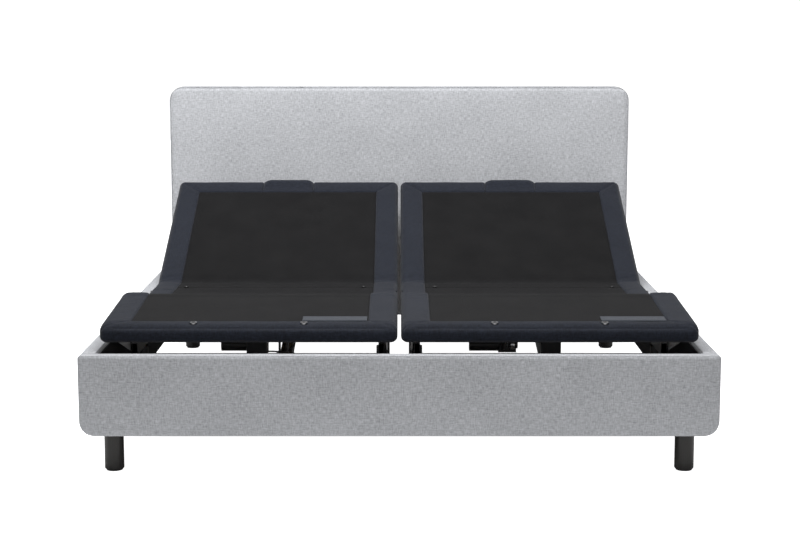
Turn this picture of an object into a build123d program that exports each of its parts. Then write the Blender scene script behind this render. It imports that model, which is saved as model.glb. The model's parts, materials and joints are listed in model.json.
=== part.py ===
"""Adjustable bed base: an upholstered surround that holds two motorised platforms side by side.

Millimetres. +X is to the right seen from the foot end, +Y runs towards the headboard, +Z is up.
The origin is on the floor, under the middle of the whole bed.
"""
from build123d import *
import os
from math import cos, radians, sin, tan

os.makedirs("parts", exist_ok=True)

# ---------------------------------------------------------------- sizes that are set by themselves
# one platform, lying flat
PLATFORM_WIDTH = 915
PLATFORM_GAP = 12
SECTION_THICK = 60
DECK_TOP = 401
FOOT_LENGTH = 436
THIGH_LENGTH = 421
SEAT_LENGTH = 412
BACK_LENGTH = 783

# how far each section is raised as it stands, in degrees
BACK_ANGLE = 24.2
THIGH_ANGLE = 11.9
FOOT_FOLD = 15.5

# upholstered surround
RAIL_THICK = 52
FOOTBOARD_THICK = 48
HEADBOARD_THICK = 90
HEADBOARD_TOP = 1110
HEADBOARD_CORNER = 60
HEADBOARD_BORDER = 30
HEADBOARD_BOARD = 25
BACK_COVER = 2
SURROUND_TOP = 376
SURROUND_BOTTOM = 125
SIDE_CLEARANCE = 5
FOOT_CLEARANCE = 10
HEAD_CLEARANCE = 51
EDGE_ROUND = 8
BOTTOM_ROUND = 48
LINER_THICK = 3
LINER_BORDER = 12

# legs of the surround
LEG_DIAMETER = 60
LEG_INSET = 92
LEG_FROM_FOOTBOARD = 42
LEG_FROM_HEADBOARD = 78
LEG_ROUND = 4
GLIDE_THICK = 4
GLIDE_DIAMETER = 50
STUD_DIAMETER = 8
STUD_LENGTH = 24
HOLE_CLEARANCE = 1

# brackets and bolts that join the rails, the boards and the legs
BRACKET_PLATE = 5
BRACKET_HEIGHT = 95
BRACKET_REACH = 112
BOLT_DIAMETER = 8
BOLT_HEAD = 15
BOLT_HEAD_THICK = 4
BOLT_BITE = 25
BOLT_ALONG = 80
BOLT_HEIGHTS = (35, 75)
BOLT_END_GAP = 1

# build-up of one section
PIVOT_DEPTH = 14
HINGE_GAP = 9
KNEE_BEVEL = 13
TOP_FOAM = 12
SKIRT = 22
BOARD_THICK = 16
BOARD_FIT = 0.5
TUBE_WIDTH = 25
TUBE_WALL = 2
WELD_GAP = 0.3
FRAME_RECESS = 2
FRONT_ROUND = 24
HANDLE_WIDTH = 209
HANDLE_PROUD = 10
HANDLE_DEPTH = 30

# hinges between sections
HINGE_SPREAD = 300
LEAF_WIDTH = 70
LEAF_LENGTH = 45
LEAF_THICK = 2.5
LEAF_START = 6
KNUCKLE_DIAMETER = 10
KNUCKLE_LENGTH = 20
KNUCKLE_GAP = 1
HINGE_PIN = 6
RUNNING_FIT = 0.08

# steel chassis under one platform
CHASSIS_TOP = 336
CHASSIS_TUBE_HEIGHT = 40
CHASSIS_TUBE_WIDTH = 20
SLIM_TUBE_HEIGHT = 25
CHASSIS_SIDE = 405
CHASSIS_HEAD_GAP = 210
CHASSIS_PAST_KNEE = 77
FRAME_INSET = 32
LEG_TUBE_DIAMETER = 38
LEG_FOOT_DIAMETER = 56
LEG_FOOT_THICK = 12
FRONT_LEGS_BEHIND_KNEE = 93
REAR_LEG_FROM_END = 100
RAIL_BRACKET_WIDTH = 90
RAIL_BRACKET_HEIGHT = 80

# lift gear
ACTUATOR_SPREAD = 60
HEAD_ANCHOR = 155
LEG_ANCHOR = 325
ANCHOR_DROP = 120
ANCHOR_PIN = 10
ANCHOR_EYE = 28
ANCHOR_EYE_THICK = 20
ANCHOR_CLEARANCE = 12
ANCHOR_SIDE_GAP = 1
HEAD_CRANK_AHEAD = 20
HEAD_CRANK_DROP = 135
LEG_CRANK_DROP = 145
CRANK_PLATE = 6
CRANK_GAP = 24
CRANK_PIN = 10
CRANK_TAB = 34
HEAD_YOKE_BORE = 44
LEG_YOKE_BORE = 26
YOKE_WALL = 7
YOKE_THICK = 14
ROD_DIAMETER = 20
ROD_FIT = 0.3
ROD_OVERLAP = 40
BORE_MARGIN = 6
OUTER_TUBE_HEIGHT = 46
OUTER_TUBE_WIDTH = 40
GEARBOX = 64
MOTOR_DIAMETER = 52
MOTOR_LENGTH = 110
HEAD_BODY_LENGTH = 430
HEAD_STROKE_OUT = 84
HEAD_STROKE_IN = 60
LEG_BODY_LENGTH = 245
LEG_STROKE_OUT = 62
LEG_STROKE_IN = 34

# links that steady the foot section
LINK_PIVOT_PAST_KNEE = 44
LINK_PIVOT_HEIGHT = 318
LINK_TIP_ALONG = 295
LINK_TIP_DROP = 78
LINK_WIDTH = 22
LINK_THICK = 5
LINK_SIDE_GAP = 1
LINK_TIP_BORE = 18
LINK_TIP_WALL = 4
LINK_PIN = 8
LINK_PIN_PROUD = 1
TOWER_BASE = 104
TOWER_FOOT = 24
TOWER_THICK = 5
TOWER_BAR = 12
TOWER_SIDE_BAR = 29
TOWER_TOP_GAP = 1

# small things on the platform
SOCKET_SPACING = 340
SOCKET_FROM_END = 28
SOCKET_BORE = 12
SOCKET_OUTER = 16
SOCKET_FLANGE = 22
SOCKET_DEPTH = 38
SOCKET_RIM = 2
MASSAGE_WIDTH = 64
MASSAGE_LENGTH = 84
MASSAGE_DROP = 77
MASSAGE_OFFSET = 14
MASSAGE_FROM_END = 165
MASSAGE_ROUND = 6
CONTROL_BOX_WIDTH = 180
CONTROL_BOX_LENGTH = 110
CONTROL_BOX_HEIGHT = 40
CONTROL_BOX_OFFSET = 210
CONTROL_BOX_FROM_HINGE = 120
CONTROL_BOX_ROUND = 8
CABLE_DIAMETER = 5
CABLE_EXIT_HEIGHT = 10
CABLE_BEND_SHARE = 0.45
# corners of the motor lead: ahead of the motor's middle, above its exit, out from the motor's side
CABLE_CORNERS = ((0, 0, 0), (0, 0, 22), (2, -3, 46), (-2, 3, 70), (1, 22, 86), (2, 46, 88),
                 (3, 70, 86))

# ---------------------------------------------------------------- sizes that follow
DECK_LENGTH = FOOT_LENGTH + THIGH_LENGTH + SEAT_LENGTH + BACK_LENGTH
INNER_LENGTH = FOOT_CLEARANCE + DECK_LENGTH + HEAD_CLEARANCE
OVERALL_LENGTH = FOOTBOARD_THICK + INNER_LENGTH + HEADBOARD_THICK
FOOT_FACE = -OVERALL_LENGTH / 2
FOOT_INNER = FOOT_FACE + FOOTBOARD_THICK
HEAD_INNER = FOOT_INNER + INNER_LENGTH
HEAD_FACE = HEAD_INNER + HEADBOARD_THICK
HALF_WIDTH = PLATFORM_WIDTH + PLATFORM_GAP / 2 + SIDE_CLEARANCE + RAIL_THICK
RAIL_INNER = HALF_WIDTH - RAIL_THICK
LINER_INNER = RAIL_INNER - LINER_THICK
PLATFORM_CENTRE = (PLATFORM_WIDTH + PLATFORM_GAP) / 2
HALF_PLATFORM = PLATFORM_WIDTH / 2
BOLT_HOLE = BOLT_DIAMETER + HOLE_CLEARANCE

FLAT_FOOT_END = FOOT_INNER + FOOT_CLEARANCE
FLAT_KNEE = FLAT_FOOT_END + FOOT_LENGTH
THIGH_HINGE = FLAT_KNEE + THIGH_LENGTH
BACK_HINGE = THIGH_HINGE + SEAT_LENGTH
PIVOT_HEIGHT = DECK_TOP - PIVOT_DEPTH
KNEE_Y = THIGH_HINGE - THIGH_LENGTH * cos(radians(THIGH_ANGLE))
KNEE_Z = PIVOT_HEIGHT + THIGH_LENGTH * sin(radians(THIGH_ANGLE))

BOARD_TOP = -TOP_FOAM
BOARD_BOTTOM = BOARD_TOP - BOARD_THICK
FRAME_BOTTOM = -SECTION_THICK + FRAME_RECESS
FRAME_HALF = HALF_PLATFORM - SKIRT
CHASSIS_BOTTOM = CHASSIS_TOP - CHASSIS_TUBE_HEIGHT
CHASSIS_OUTER = CHASSIS_SIDE + CHASSIS_TUBE_WIDTH / 2
CHASSIS_INNER = CHASSIS_SIDE - CHASSIS_TUBE_WIDTH / 2
CHASSIS_FOOT_END = FLAT_KNEE - CHASSIS_PAST_KNEE
CHASSIS_HEAD_END = HEAD_INNER - CHASSIS_HEAD_GAP
HEAD_ANCHOR_Y = THIGH_HINGE - HEAD_ANCHOR
LEG_ANCHOR_Y = THIGH_HINGE + LEG_ANCHOR
ANCHOR_Z = CHASSIS_BOTTOM - ANCHOR_DROP
LINK_PIVOT_Y = FLAT_KNEE - LINK_PIVOT_PAST_KNEE
LINK_SPAN = (CHASSIS_OUTER + TOWER_THICK + LINK_SIDE_GAP,
             CHASSIS_OUTER + TOWER_THICK + LINK_SIDE_GAP + LINK_THICK)
FRONT_LEGS_Y = FLAT_KNEE + FRONT_LEGS_BEHIND_KNEE
REAR_LEG_Y = CHASSIS_HEAD_END - REAR_LEG_FROM_END
HEAD_CRANK = (HEAD_CRANK_AHEAD, -PIVOT_DEPTH - HEAD_CRANK_DROP)
LEG_CRANK = (0, -PIVOT_DEPTH - LEG_CRANK_DROP)


# ---------------------------------------------------------------- planes of the sections
def side_plane(pivot_y, pivot_z, tilt, centre_x):
    """Side view of a section: local x runs along it to the head, local y goes up from its top."""
    along = Vector(0, cos(radians(tilt)), sin(radians(tilt)))
    up = Vector(0, -sin(radians(tilt)), cos(radians(tilt)))
    top = Vector(centre_x, pivot_y, pivot_z) + up * PIVOT_DEPTH
    return Plane(origin=top, x_dir=along, z_dir=(1, 0, 0))


def back_plane(centre_x):
    return side_plane(BACK_HINGE, PIVOT_HEIGHT, BACK_ANGLE, centre_x)


def seat_head_plane(centre_x):
    return side_plane(BACK_HINGE, PIVOT_HEIGHT, 0, centre_x)


def seat_foot_plane(centre_x):
    return side_plane(THIGH_HINGE, PIVOT_HEIGHT, 0, centre_x)


def thigh_plane(centre_x):
    return side_plane(THIGH_HINGE, PIVOT_HEIGHT, -THIGH_ANGLE, centre_x)


def thigh_knee_plane(centre_x):
    return side_plane(KNEE_Y, KNEE_Z, -THIGH_ANGLE, centre_x)


def foot_plane(centre_x):
    return side_plane(KNEE_Y, KNEE_Z, FOOT_FOLD - THIGH_ANGLE, centre_x)


def end_plane(side):
    """Cross view of a section: local x is the bed's X, local y goes up, and it faces the foot."""
    return Plane(origin=side.origin, x_dir=(1, 0, 0), z_dir=-side.x_dir)


def aim_plane(centre_x, start_y, start_z, target, flip):
    """Side view of an actuator: local x runs from its anchor pin to the crank pin."""
    aim = Vector(0, target.Y - start_y, target.Z - start_z).normalized()
    return Plane(origin=(centre_x, start_y, start_z), x_dir=aim, z_dir=(flip, 0, 0))


# ---------------------------------------------------------------- small building steps
def save(piece, name):
    piece.part.label = name
    export_step(piece.part, f"parts/{name}.step")


def middle(span):
    return (span[0] + span[1]) / 2


def width(span):
    return span[1] - span[0]


def mirrored(span):
    return (-span[1], -span[0])


def shrunk(span, amount):
    return (span[0] + amount, span[1] - amount)


def shifted(span, amount):
    return (span[0] + amount, span[1] + amount)


def block(x_span, y_span, z_span, mode=Mode.ADD):
    """An upright block between the given limits."""
    with BuildSketch(Plane.XY.offset(z_span[0])) as profile:
        with Locations((middle(x_span), middle(y_span))):
            Rectangle(width(x_span), width(y_span))
    extrude(profile.sketch, amount=width(z_span), mode=mode)


def peg(plane, start, stop, centre, diameter, mode=Mode.ADD):
    """A round peg or hole along the plane's normal, between two distances along it."""
    with BuildSketch(plane.offset(start)) as profile:
        with Locations(centre):
            Circle(diameter / 2)
    extrude(profile.sketch, amount=stop - start, mode=mode)


def bar(side, x_span, along, height, mode=Mode.ADD):
    """A straight bar of a section, drawn in its side view."""
    with BuildSketch(side.offset(x_span[0])) as profile:
        with Locations((middle(along), middle(height))):
            Rectangle(width(along), width(height))
    extrude(profile.sketch, amount=width(x_span), mode=mode)


def ring(side, x_span, centre, outer, bore):
    """An eye or a knuckle, with its hole across the bed."""
    peg(side, x_span[0], x_span[1], centre, outer)
    peg(side, x_span[0], x_span[1], centre, bore, Mode.SUBTRACT)


def tube_across(side, x_span, along, height):
    """A rectangular steel tube that runs across the bed."""
    bar(side, x_span, along, height)
    bar(side, x_span, shrunk(along, TUBE_WALL), shrunk(height, TUBE_WALL), Mode.SUBTRACT)


def tube_along(side, x_span, along, height):
    """A rectangular steel tube that runs from foot to head."""
    with BuildSketch(end_plane(side).offset(-along[0])) as profile:
        with Locations((middle(x_span), middle(height))):
            Rectangle(width(x_span), width(height))
            Rectangle(width(x_span) - 2 * TUBE_WALL, width(height) - 2 * TUBE_WALL,
                      mode=Mode.SUBTRACT)
    extrude(profile.sketch, amount=-width(along))


def hinge_leaf(side, centre_x, direction, outer_knuckles):
    """One leaf of a butt hinge. Its direction is +1 towards the head and -1 towards the foot."""
    x_span = (centre_x - LEAF_WIDTH / 2, centre_x + LEAF_WIDTH / 2)
    ends = sorted((direction * LEAF_START, direction * LEAF_LENGTH))
    bar(side, x_span, ends, (BOARD_TOP - LEAF_THICK, BOARD_TOP))
    inner = (x_span[0] + KNUCKLE_LENGTH + KNUCKLE_GAP, x_span[1] - KNUCKLE_LENGTH - KNUCKLE_GAP)
    outer = ((x_span[0], x_span[0] + KNUCKLE_LENGTH), (x_span[1] - KNUCKLE_LENGTH, x_span[1]))
    for knuckle in (outer if outer_knuckles else (inner,)):
        bar(side, knuckle, sorted((0, direction * LEAF_START)), (BOARD_TOP - LEAF_THICK, BOARD_TOP))
        ring(side, knuckle, (0, -PIVOT_DEPTH), KNUCKLE_DIAMETER, HINGE_PIN + 2 * RUNNING_FIT)


def hinge_leaves(side, direction, outer_knuckles):
    for centre_x in (-HINGE_SPREAD, HINGE_SPREAD):
        hinge_leaf(side, centre_x, direction, outer_knuckles)


def leaf_recesses(side, direction):
    """Shallow recesses in the top of a board, one under each hinge leaf."""
    for centre_x in (-HINGE_SPREAD, HINGE_SPREAD):
        x_span = (centre_x - LEAF_WIDTH / 2 - BOARD_FIT, centre_x + LEAF_WIDTH / 2 + BOARD_FIT)
        ends = sorted((0, direction * (LEAF_LENGTH + BOARD_FIT)))
        bar(side, x_span, ends, (BOARD_TOP - LEAF_THICK, 0), Mode.SUBTRACT)


# ---------------------------------------------------------------- surround
def bolt_lines():
    """Each corner bolt: the plane it is drawn on, where its head starts, and its centre there."""
    lines = []
    for side in (-1, 1):
        for face, inward in ((FOOT_INNER, 1), (HEAD_INNER, -1)):
            for height in BOLT_HEIGHTS:
                z = SURROUND_BOTTOM + height
                rail_start = side * (LINER_INNER - BRACKET_PLATE)
                lines.append((Plane.YZ, rail_start, side, (face + inward * BOLT_ALONG, z)))
                board_start = -(face + inward * BRACKET_PLATE)
                lines.append((Plane.XZ, board_start, inward, (side * (LINER_INNER - BOLT_ALONG), z)))
    return lines


def bolt_holes():
    for plane, start, direction, centre in bolt_lines():
        reach = BRACKET_PLATE + LINER_THICK + BOLT_BITE
        peg(plane, start, start + direction * (reach + BOLT_END_GAP), centre, BOLT_HOLE,
            Mode.SUBTRACT)


def footboard():
    with BuildPart() as piece:
        block((-HALF_WIDTH, HALF_WIDTH), (FOOT_FACE, FOOT_INNER), (SURROUND_BOTTOM, SURROUND_TOP))
        bottom_face = piece.faces().sort_by(Axis.Z)[0]
        fillet(bottom_face.edges().filter_by(Axis.Y), radius=BOTTOM_ROUND)
        fillet(piece.faces().sort_by(Axis.Y)[0].edges(), radius=EDGE_ROUND)
        bolt_holes()
    save(piece, "footboard")


def side_rail(name, side):
    x_span = sorted((side * RAIL_INNER, side * HALF_WIDTH))
    with BuildPart() as piece:
        block(x_span, (FOOT_INNER, HEAD_INNER), (SURROUND_BOTTOM, SURROUND_TOP))
        outer_face = piece.faces().sort_by(Axis.X)[-1 if side > 0 else 0]
        long_edges = outer_face.edges().filter_by(Axis.Y).sort_by(Axis.Z)
        fillet(long_edges[0], radius=BOTTOM_ROUND)
        fillet(long_edges[1], radius=EDGE_ROUND)
        bolt_holes()
        rail_bracket_bolts(BOLT_HOLE, BOLT_BITE + BOLT_END_GAP, Mode.SUBTRACT)
    save(piece, name)


def rail_liners():
    """Thin black boards stapled to the inner faces of the side rails."""
    z_span = (SURROUND_BOTTOM + LINER_BORDER, SURROUND_TOP - LINER_BORDER)
    with BuildPart() as piece:
        for side in (-1, 1):
            x_span = sorted((side * LINER_INNER, side * RAIL_INNER))
            block(x_span, (FOOT_INNER, HEAD_INNER), z_span)
        bolt_holes()
        rail_bracket_bolts(BOLT_HOLE, BOLT_BITE, Mode.SUBTRACT)
    save(piece, "rail_liners")


def headboard_panel():
    height = HEADBOARD_TOP - SURROUND_BOTTOM
    with BuildPart() as piece:
        with BuildSketch(Plane.XZ.offset(-HEAD_FACE)):
            with Locations((0, SURROUND_BOTTOM + height / 2)):
                Rectangle(2 * HALF_WIDTH, height)
            fillet(vertices().group_by(Axis.Y)[-1], radius=HEADBOARD_CORNER)
        extrude(amount=HEADBOARD_THICK)
        fillet(piece.faces().sort_by(Axis.Y)[0].edges(), radius=EDGE_ROUND)
        with BuildSketch(Plane.XZ.offset(-HEAD_FACE)):
            headboard_inner_outline()
        extrude(amount=HEADBOARD_BOARD + BACK_COVER, mode=Mode.SUBTRACT)
        bolt_holes()
    save(piece, "headboard_panel")


def headboard_inner_outline():
    height = HEADBOARD_TOP - SURROUND_BOTTOM
    with Locations((0, SURROUND_BOTTOM + height / 2)):
        RectangleRounded(2 * (HALF_WIDTH - HEADBOARD_BORDER), height - 2 * HEADBOARD_BORDER,
                         HEADBOARD_CORNER - HEADBOARD_BORDER)


def headboard_layer(name, depth, thick):
    """The timber board in the back of the headboard, or the dust cover over it."""
    with BuildPart() as piece:
        with BuildSketch(Plane.XZ.offset(-HEAD_FACE + depth)):
            headboard_inner_outline()
        extrude(amount=thick)
    save(piece, name)


def corner_brackets():
    """Steel corners, open inwards, that tie each rail to a board and carry a leg."""
    with BuildPart() as piece:
        for side in (-1, 1):
            for face, inward in ((FOOT_INNER, 1), (HEAD_INNER, -1)):
                outer_x = side * LINER_INNER
                x_span = sorted((outer_x, outer_x - side * BRACKET_REACH))
                y_span = sorted((face, face + inward * BRACKET_REACH))
                block(x_span, y_span, (SURROUND_BOTTOM, SURROUND_BOTTOM + BRACKET_HEIGHT))
                x_open = sorted((outer_x - side * BRACKET_PLATE, outer_x - side * BRACKET_REACH))
                y_open = sorted((face + inward * BRACKET_PLATE, face + inward * BRACKET_REACH))
                z_open = (SURROUND_BOTTOM + BRACKET_PLATE, SURROUND_BOTTOM + BRACKET_HEIGHT)
                block(x_open, y_open, z_open, Mode.SUBTRACT)
        bolt_holes()
        for centre in leg_centres():
            peg(Plane.XY, SURROUND_BOTTOM, SURROUND_BOTTOM + BRACKET_PLATE, centre,
                STUD_DIAMETER + HOLE_CLEARANCE, Mode.SUBTRACT)
    save(piece, "corner_brackets")


def corner_bolts():
    with BuildPart() as piece:
        for plane, start, direction, centre in bolt_lines():
            peg(plane, start, start - direction * BOLT_HEAD_THICK, centre, BOLT_HEAD)
            reach = BRACKET_PLATE + LINER_THICK + BOLT_BITE
            peg(plane, start, start + direction * reach, centre, BOLT_DIAMETER)
    save(piece, "corner_bolts")


def leg_centres(ends=("foot", "head")):
    x = HALF_WIDTH - LEG_INSET
    places = {"foot": FOOT_INNER + LEG_FROM_FOOTBOARD, "head": HEAD_INNER - LEG_FROM_HEADBOARD}
    return [(side * x, places[end]) for end in ends for side in (-1, 1)]


def surround_legs(name, end):
    """A pair of round legs, each with a threaded stud that goes up through its bracket."""
    with BuildPart() as piece:
        for centre in leg_centres((end,)):
            peg(Plane.XY, GLIDE_THICK, SURROUND_BOTTOM, centre, LEG_DIAMETER)
        fillet(piece.faces().group_by(Axis.Z)[0].edges(), radius=LEG_ROUND)
        for centre in leg_centres((end,)):
            peg(Plane.XY, SURROUND_BOTTOM, SURROUND_BOTTOM + STUD_LENGTH, centre, STUD_DIAMETER)
    save(piece, name)


def leg_glides():
    with BuildPart() as piece:
        for centre in leg_centres():
            peg(Plane.XY, 0, GLIDE_THICK, centre, GLIDE_DIAMETER)
    save(piece, "leg_glides")


def rail_bracket_bolts(diameter, bite, mode=Mode.ADD):
    """Bolts, or their holes, that fix the two support brackets to the side rails."""
    for side in (-1, 1):
        start = side * (LINER_INNER - BRACKET_PLATE)
        stop = start + side * (BRACKET_PLATE + LINER_THICK + bite)
        for offset in (-RAIL_BRACKET_WIDTH / 4, RAIL_BRACKET_WIDTH / 4):
            centre = (REAR_LEG_Y + offset, CHASSIS_BOTTOM - RAIL_BRACKET_HEIGHT / 2)
            peg(Plane.YZ, start, stop, centre, diameter, mode)


def rail_brackets():
    """Angle brackets on the side rails that carry the outer side tubes of both chassis."""
    with BuildPart() as piece:
        for side in (-1, 1):
            y_span = (REAR_LEG_Y - RAIL_BRACKET_WIDTH / 2, REAR_LEG_Y + RAIL_BRACKET_WIDTH / 2)
            wall = sorted((side * LINER_INNER, side * (LINER_INNER - BRACKET_PLATE)))
            shelf = sorted((side * LINER_INNER, side * (PLATFORM_CENTRE + CHASSIS_INNER)))
            block(wall, y_span, (CHASSIS_BOTTOM - RAIL_BRACKET_HEIGHT, CHASSIS_BOTTOM))
            block(shelf, y_span, (CHASSIS_BOTTOM - BRACKET_PLATE, CHASSIS_BOTTOM))
        rail_bracket_bolts(BOLT_HOLE, BOLT_BITE, Mode.SUBTRACT)
    save(piece, "rail_brackets")


# ---------------------------------------------------------------- chassis of one platform
def chassis_tube(x_span, y_span, z_span, run):
    """A rectangular tube, open at the ends of the axis that it runs along."""
    block(x_span, y_span, z_span)
    hollow_x = x_span if run == "x" else shrunk(x_span, TUBE_WALL)
    hollow_y = y_span if run == "y" else shrunk(y_span, TUBE_WALL)
    block(hollow_x, hollow_y, shrunk(z_span, TUBE_WALL), Mode.SUBTRACT)


def chassis_cross_tube(centre_x, centre_y, z_span):
    x_span = (centre_x - CHASSIS_INNER + WELD_GAP, centre_x + CHASSIS_INNER - WELD_GAP)
    y_span = (centre_y - CHASSIS_TUBE_WIDTH, centre_y + CHASSIS_TUBE_WIDTH)
    chassis_tube(x_span, y_span, z_span, "x")


def anchor_plates(centre_x, centre_y, tube_bottom):
    """Two plates that hang from a cross tube and hold an actuator's rear pin."""
    gap = ANCHOR_EYE_THICK / 2 + ANCHOR_SIDE_GAP
    z_span = (ANCHOR_Z - ANCHOR_EYE / 2, tube_bottom - WELD_GAP)
    for plate in ((gap, gap + CRANK_PLATE), (-gap - CRANK_PLATE, -gap)):
        block(shifted(plate, centre_x), (centre_y - CRANK_TAB / 2, centre_y + CRANK_TAB / 2), z_span)
    span = gap + CRANK_PLATE
    peg(Plane.YZ, centre_x - span, centre_x + span, (centre_y, ANCHOR_Z),
        ANCHOR_PIN + 2 * RUNNING_FIT, Mode.SUBTRACT)


def link_tower(centre_x, span):
    """A triangular plate on a side tube, with a window, that carries a link's lower pivot."""
    foot_z = CHASSIS_BOTTOM - TOWER_FOOT
    base = TOWER_BASE / 2
    window_top = LINK_PIVOT_HEIGHT - LINK_WIDTH / 2 - TOWER_TOP_GAP
    window_base = base - TOWER_SIDE_BAR
    with BuildSketch(Plane.YZ.offset(centre_x + span[0])) as profile:
        with BuildLine():
            Polyline((LINK_PIVOT_Y - base, foot_z), (LINK_PIVOT_Y + base, foot_z),
                     (LINK_PIVOT_Y + LINK_WIDTH / 2, LINK_PIVOT_HEIGHT),
                     (LINK_PIVOT_Y - LINK_WIDTH / 2, LINK_PIVOT_HEIGHT), close=True)
        make_face()
        with Locations((LINK_PIVOT_Y, LINK_PIVOT_HEIGHT)):
            Circle(LINK_WIDTH / 2)
        with Locations((LINK_PIVOT_Y, LINK_PIVOT_HEIGHT)):
            Circle(LINK_PIN / 2 + RUNNING_FIT, mode=Mode.SUBTRACT)
        with BuildLine():
            Polyline((LINK_PIVOT_Y - window_base, foot_z + TOWER_BAR),
                     (LINK_PIVOT_Y + window_base, foot_z + TOWER_BAR),
                     (LINK_PIVOT_Y, window_top), close=True)
        make_face(mode=Mode.SUBTRACT)
    extrude(profile.sketch, amount=width(span))


def chassis_frame(name, centre_x):
    z_span = (CHASSIS_BOTTOM, CHASSIS_TOP)
    side_tube = (CHASSIS_INNER, CHASSIS_OUTER)
    tower = (CHASSIS_OUTER + WELD_GAP, CHASSIS_OUTER + TOWER_THICK)
    seat_tube = (FRAME_HALF - TUBE_WIDTH - BOARD_FIT, FRAME_HALF - BOARD_FIT)
    seat = seat_foot_plane(centre_x)
    with BuildPart() as piece:
        for span in (side_tube, mirrored(side_tube)):
            chassis_tube(shifted(span, centre_x), (CHASSIS_FOOT_END, CHASSIS_HEAD_END), z_span, "y")
        for centre_y in (HEAD_ANCHOR_Y, CHASSIS_HEAD_END - CHASSIS_TUBE_WIDTH):
            chassis_cross_tube(centre_x, centre_y, z_span)
        chassis_cross_tube(centre_x, LEG_ANCHOR_Y, (CHASSIS_TOP - SLIM_TUBE_HEIGHT, CHASSIS_TOP))
        low_span = (CHASSIS_BOTTOM - CHASSIS_TUBE_HEIGHT, CHASSIS_BOTTOM - WELD_GAP)
        front_y = (CHASSIS_FOOT_END, CHASSIS_FOOT_END + 2 * CHASSIS_TUBE_WIDTH)
        chassis_tube((centre_x - CHASSIS_OUTER, centre_x + CHASSIS_OUTER), front_y, low_span, "x")
        anchor_plates(centre_x + ACTUATOR_SPREAD, HEAD_ANCHOR_Y, CHASSIS_BOTTOM)
        anchor_plates(centre_x - ACTUATOR_SPREAD, LEG_ANCHOR_Y, CHASSIS_TOP - SLIM_TUBE_HEIGHT)
        for span in (tower, mirrored(tower)):
            link_tower(centre_x, span)
        for span in (seat_tube, mirrored(seat_tube)):
            tube_along(seat, span, (FRAME_INSET, SEAT_LENGTH - FRAME_INSET),
                       (CHASSIS_TOP - DECK_TOP + WELD_GAP, BOARD_BOTTOM))
        hinge_leaves(seat, 1, True)
        hinge_leaves(seat_head_plane(centre_x), -1, True)
    save(piece, name)


def chassis_legs(name, centre_x, inner_side):
    """Three round steel legs: two near the knee, and one under the inner tube near the head."""
    inner_x = centre_x + inner_side * CHASSIS_SIDE
    outer_x = centre_x - inner_side * CHASSIS_SIDE
    with BuildPart() as piece:
        for centre in ((inner_x, FRONT_LEGS_Y), (outer_x, FRONT_LEGS_Y), (inner_x, REAR_LEG_Y)):
            peg(Plane.XY, 0, LEG_FOOT_THICK, centre, LEG_FOOT_DIAMETER)
            peg(Plane.XY, LEG_FOOT_THICK, CHASSIS_BOTTOM, centre, LEG_TUBE_DIAMETER)
    save(piece, name)


def pivot_pins(name, centre_x):
    """The pins that stay with the chassis: section hinges, actuator anchors and link pivots."""
    half_leaf = LEAF_WIDTH / 2
    anchor = ANCHOR_EYE_THICK / 2 + ANCHOR_SIDE_GAP + CRANK_PLATE
    link = (CHASSIS_OUTER + WELD_GAP, LINK_SPAN[1] + LINK_PIN_PROUD)
    with BuildPart() as piece:
        for pivot_y in (THIGH_HINGE, BACK_HINGE):
            for x in (centre_x - HINGE_SPREAD, centre_x + HINGE_SPREAD):
                peg(Plane.YZ, x - half_leaf, x + half_leaf, (pivot_y, PIVOT_HEIGHT), HINGE_PIN)
        for x, y in ((centre_x + ACTUATOR_SPREAD, HEAD_ANCHOR_Y),
                     (centre_x - ACTUATOR_SPREAD, LEG_ANCHOR_Y)):
            peg(Plane.YZ, x - anchor, x + anchor, (y, ANCHOR_Z), ANCHOR_PIN)
        for span in (link, mirrored(link)):
            peg(Plane.YZ, centre_x + span[0], centre_x + span[1],
                (LINK_PIVOT_Y, LINK_PIVOT_HEIGHT), LINK_PIN)
    save(piece, name)


def control_box(name, centre_x):
    x_mid = centre_x - CONTROL_BOX_OFFSET
    y_low = THIGH_HINGE + CONTROL_BOX_FROM_HINGE
    top = DECK_TOP + BOARD_BOTTOM
    with BuildPart() as piece:
        block((x_mid - CONTROL_BOX_WIDTH / 2, x_mid + CONTROL_BOX_WIDTH / 2),
              (y_low, y_low + CONTROL_BOX_LENGTH), (top - CONTROL_BOX_HEIGHT, top))
        fillet(piece.edges().filter_by(Axis.Z), radius=CONTROL_BOX_ROUND)
    save(piece, name)


# ---------------------------------------------------------------- upholstered sections
def pad(name, side, along, pocket_along, profile, handle=False):
    """Foam and cover: a slab with skirts that hides the board and the frame below it."""
    with BuildPart() as piece:
        with BuildSketch(side.offset(-HALF_PLATFORM)):
            with BuildLine():
                Polyline(*profile, close=True)
            make_face()
        extrude(amount=PLATFORM_WIDTH)
        if handle:
            half = HANDLE_WIDTH / 2
            bar(side, (-half, half), (along[1] - HANDLE_DEPTH, along[1]),
                (-SECTION_THICK / 2, HANDLE_PROUD))
        bar(side, (-FRAME_HALF, FRAME_HALF), pocket_along, (-SECTION_THICK, BOARD_TOP), Mode.SUBTRACT)
    save(piece, name)


def board(name, side, along, leaves, sockets=False):
    """Plywood under the foam, recessed for the hinge leaves."""
    half = FRAME_HALF - BOARD_FIT
    with BuildPart() as piece:
        bar(side, (-half, half), along, (BOARD_BOTTOM, BOARD_TOP))
        for leaf_side, direction in leaves:
            leaf_recesses(leaf_side, direction)
        if sockets:
            socket_holes(side)
    save(piece, name)


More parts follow.
